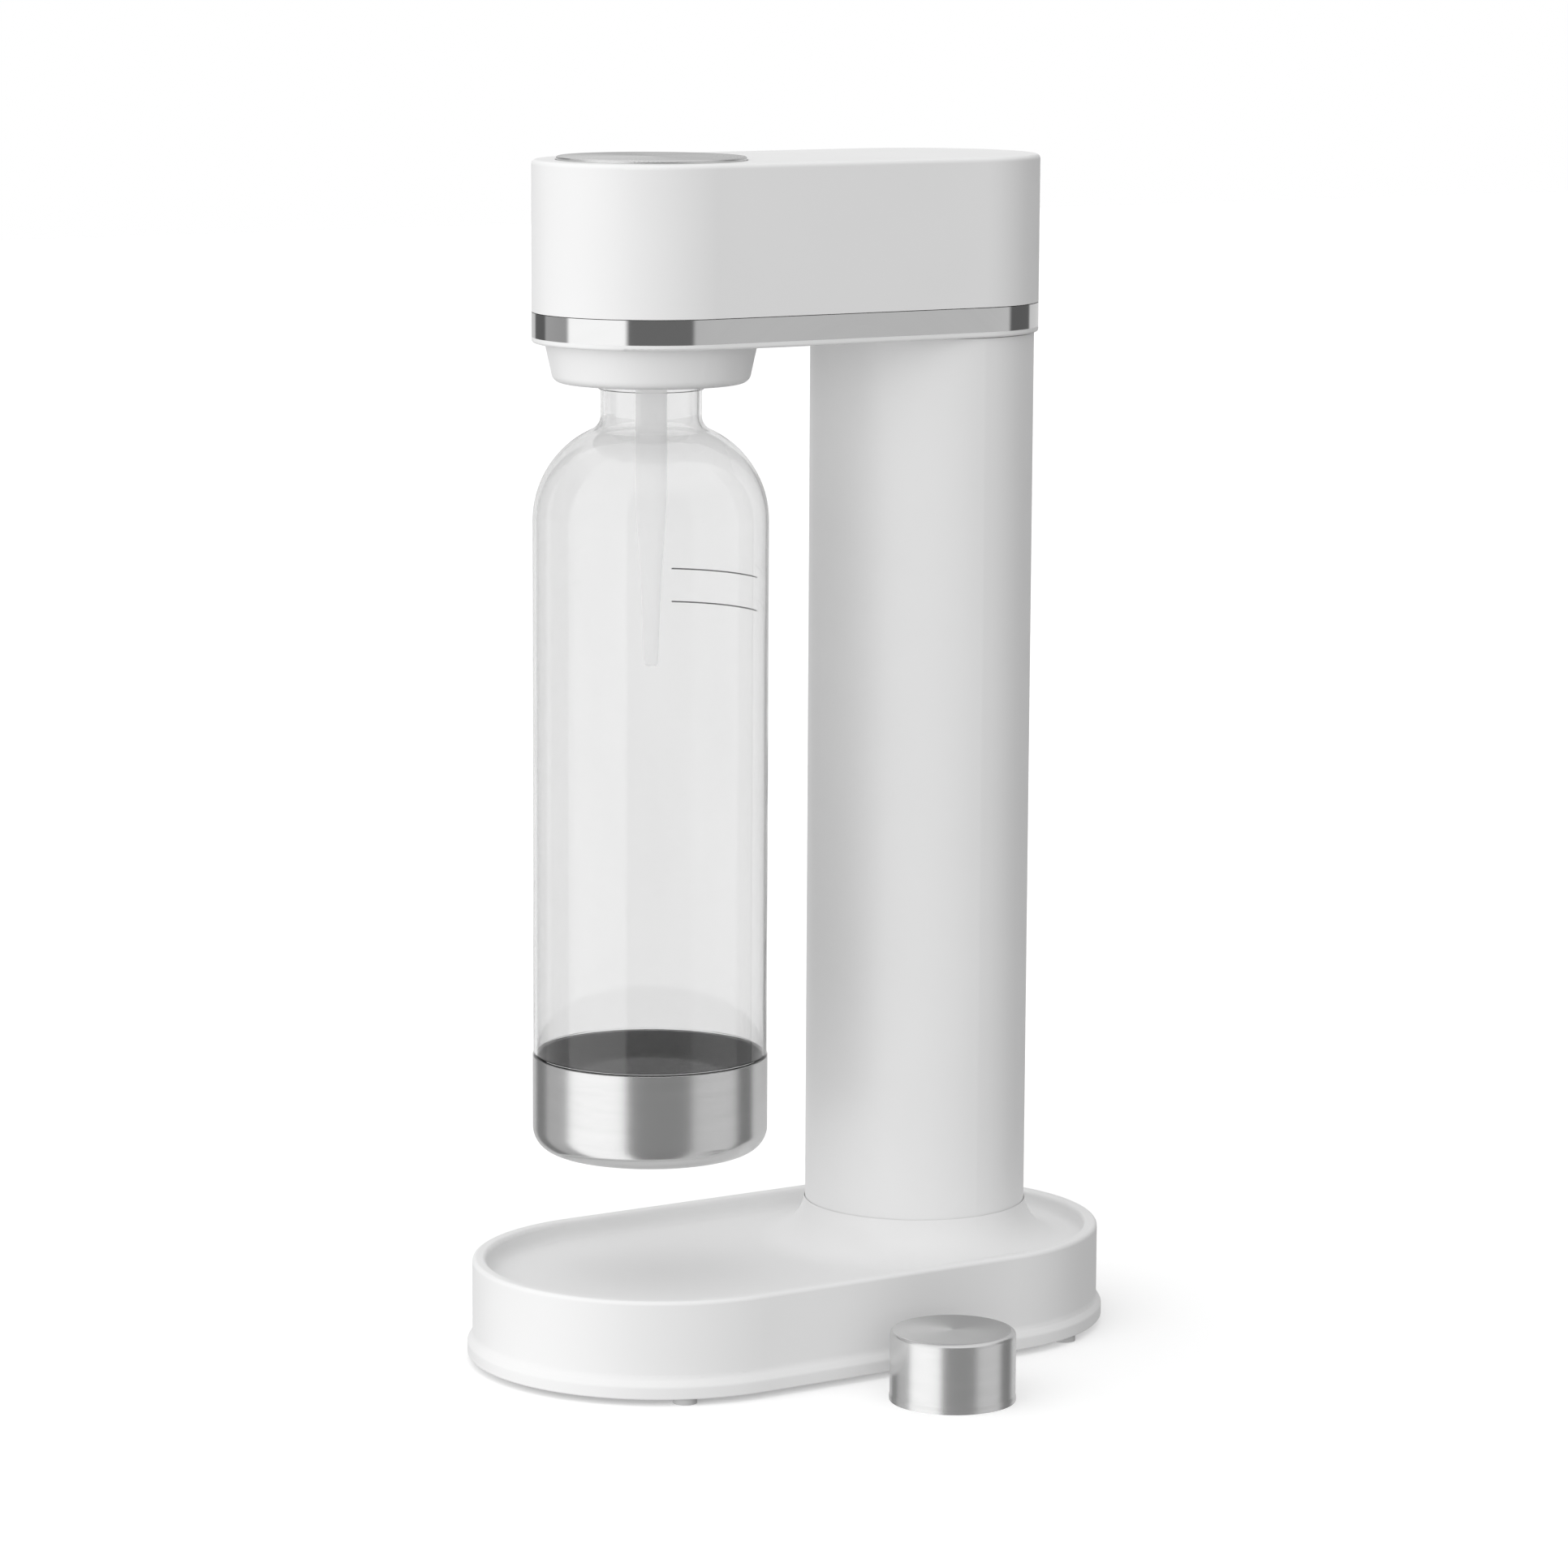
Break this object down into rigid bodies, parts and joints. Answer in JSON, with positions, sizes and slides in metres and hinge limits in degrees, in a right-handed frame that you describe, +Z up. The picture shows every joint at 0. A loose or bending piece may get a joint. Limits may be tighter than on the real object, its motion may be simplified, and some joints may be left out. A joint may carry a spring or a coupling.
{
  "type": "soda carbonator",
  "caption": "Hand-operated soda maker: racetrack base and head on a round column, push button, clear bottle with steel foot, gas cylinder and loose cap.",
  "frame": {"origin": "on the table at the centre of the base, on the standing face of the foot ring", "axes": "+Z up, -Y to the front where the bottle hangs, +Y to the back where the column stands, +X to the side where the loose cap stands"},
  "size_m": [0.1937, 0.2468, 0.4262],
  "materials": {
    "white_body": "satin white moulded plastic, very fine grain",
    "polished_steel": "mirror-polished stainless steel",
    "brushed_steel": "fine brushed stainless steel",
    "zinc_steel": "zinc-plated steel",
    "spring_steel": "drawn spring wire",
    "valve_aluminium": "die-cast aluminium, satin",
    "brass": "machined brass",
    "grey_plastic": "grey engineering plastic",
    "hose_plastic": "milky polyurethane hose",
    "nozzle_plastic": "milky translucent plastic",
    "clear_plastic": "clear blow-moulded plastic",
    "cap_plastic": "white plastic",
    "cylinder_paint": "light grey painted metal",
    "black_rubber": "matte rubber",
    "foot_rubber": "pale rubber"
  },
  "bodies": {
    "machine": {"head_shell": "white_body", "trim_band": "polished_steel", "head_base": "white_body", "head_screws": "zinc_steel", "button_guide": "grey_plastic", "guide_screws": "zinc_steel", "button_spring": "spring_steel", "lever_pin": "zinc_steel", "valve_block": "valve_aluminium", "plunger_seal": "black_rubber", "cylinder_gasket": "black_rubber", "relief_valve": "brass", "hose_fitting_rear": "brass", "hose_fitting_front": "brass", "gas_hose": "hose_plastic", "nozzle_collar": "white_body", "bottle_lock_ring": "grey_plastic", "collar_screws": "zinc_steel", "nozzle_head": "grey_plastic", "nozzle_retainer": "grey_plastic", "bottle_seal": "black_rubber", "column_tube": "white_body", "cylinder_sleeve": "grey_plastic", "tie_rods": "zinc_steel", "tie_nuts": "zinc_steel", "base_shell": "white_body", "column_socket": "white_body", "base_plate": "grey_plastic", "base_screws": "zinc_steel", "foot_ring": "black_rubber", "feet": "foot_rubber"},
    "button": {"push_button": "brushed_steel", "button_carrier": "grey_plastic"},
    "lever": {"actuating_lever": "zinc_steel"},
    "plunger": {"valve_plunger": "brass"},
    "gas_cylinder": {"co2_cylinder": "cylinder_paint", "cylinder_valve": "brass"},
    "valve_pin": {"cylinder_valve_pin": "brass"},
    "nozzle": {"nozzle_tube": "nozzle_plastic"},
    "bottle": {"bottle_body": "clear_plastic", "bottle_shoulder": "clear_plastic", "bottle_neck": "clear_plastic", "bottle_base_cup": "brushed_steel"},
    "cap": {"cap_shell": "brushed_steel", "cap_liner": "cap_plastic", "cap_seal": "black_rubber"}
  },
  "joints": [
    {"name": "button_press", "type": "slide", "parent": "machine", "child": "button", "axis": [0, 0, -1], "range_m": [0, 0.006], "stiffness_N_per_m": 1200, "springref_m": -0.004, "deforming": ["button_spring"]},
    {"name": "lever_swing", "type": "hinge", "parent": "machine", "child": "lever", "pos_m": [0, 0.085, 0.3834], "axis": [1, 0, 0], "range_deg": [0, 2.5]},
    {"name": "plunger_slide", "type": "slide", "parent": "machine", "child": "plunger", "axis": [0, 0, -1], "range_m": [0, 0.0015]},
    {"name": "cylinder_drop", "type": "slide", "parent": "machine", "child": "gas_cylinder", "axis": [0, 0, -1], "range_m": [0, 0.009]},
    {"name": "valve_pin_slide", "type": "slide", "parent": "gas_cylinder", "child": "valve_pin", "axis": [0, 0, -1], "range_m": [0, 0.0015]},
    {"name": "nozzle_tilt", "type": "hinge", "parent": "machine", "child": "nozzle", "pos_m": [0, -0.059, 0.358], "axis": [-1, 0, 0], "range_deg": [0, 10]},
    {"name": "bottle_lower", "type": "slide", "parent": "machine", "child": "bottle", "axis": [0, 0, -1], "range_m": [0, 0.026]},
    {"name": "cap_lift", "type": "slide", "parent": "machine", "child": "cap", "axis": [0, 0, 1], "range_m": [0, 0.06]}
  ],
  "couplings": [
    {"joint": "lever_swing", "follows": "button_press", "rad_per_m": 6.9444},
    {"joint": "plunger_slide", "follows": "button_press", "ratio": 0.21181},
    {"joint": "valve_pin_slide", "follows": "button_press", "ratio": 0.21181}
  ]
}
